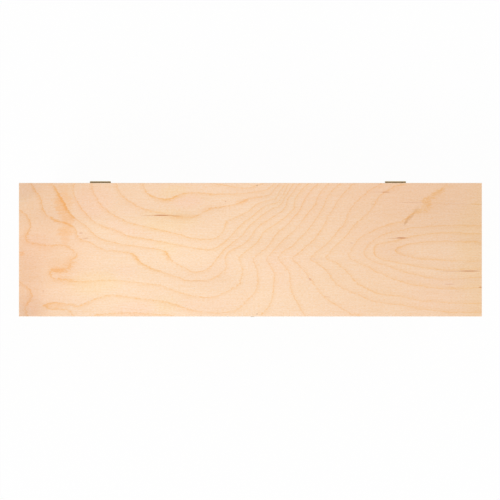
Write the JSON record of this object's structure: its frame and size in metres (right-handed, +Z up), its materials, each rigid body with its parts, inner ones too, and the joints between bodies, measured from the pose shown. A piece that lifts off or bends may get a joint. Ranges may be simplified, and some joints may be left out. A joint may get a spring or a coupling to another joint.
{
  "type": "wooden wine box",
  "caption": "Long pale wooden gift box for one bottle, with finger-jointed corners, a hinged plywood lid, small brass-coloured hinges and a swing hook.",
  "frame": {"origin": "middle of the box's underside", "axes": "+X along the box to the right, -Y is the front with the hook, +Y the back with the hinges, +Z up through the lid"},
  "size_m": [0.35, 0.105, 0.1],
  "materials": {
    "plywood": "sanded rotary-cut birch plywood, unvarnished",
    "wall_wood": "sanded pale solid wood, unvarnished",
    "antique_brass": "antique brass, worn brighter on its high edges",
    "brad_steel": "dull steel"
  },
  "bodies": {
    "base": {"base_panel": "plywood", "base_front_wall": "wall_wood", "base_back_wall": "wall_wood", "base_left_wall": "wall_wood", "base_right_wall": "wall_wood", "base_brads": "brad_steel", "hinge_left_base_leaf": "antique_brass", "hinge_right_base_leaf": "antique_brass", "hinge_left_pin": "antique_brass", "hinge_right_pin": "antique_brass", "hinge_base_screws": "antique_brass", "clasp_pivot_plate": "antique_brass", "clasp_rivet": "antique_brass", "clasp_base_screws": "antique_brass"},
    "lid": {"lid_panel": "plywood", "lid_front_rail": "wall_wood", "lid_back_rail": "wall_wood", "lid_left_rail": "wall_wood", "lid_right_rail": "wall_wood", "lid_brads": "brad_steel", "hinge_left_lid_leaf": "antique_brass", "hinge_right_lid_leaf": "antique_brass", "hinge_lid_screws": "antique_brass", "clasp_strike_plate": "antique_brass", "clasp_post": "antique_brass", "clasp_lid_screws": "antique_brass"},
    "hook": {"clasp_hook": "antique_brass"}
  },
  "joints": [
    {"name": "lid_hinge", "type": "hinge", "parent": "base", "child": "lid", "pos_m": [0, 0.0516, 0.08], "axis": [-1, 0, 0], "range_deg": [0, 185]},
    {"name": "hook_swing", "type": "hinge", "parent": "base", "child": "hook", "pos_m": [-0.00187, -0.0514, 0.06689], "axis": [0, 1, 0], "range_deg": [-150, 192]}
  ]
}
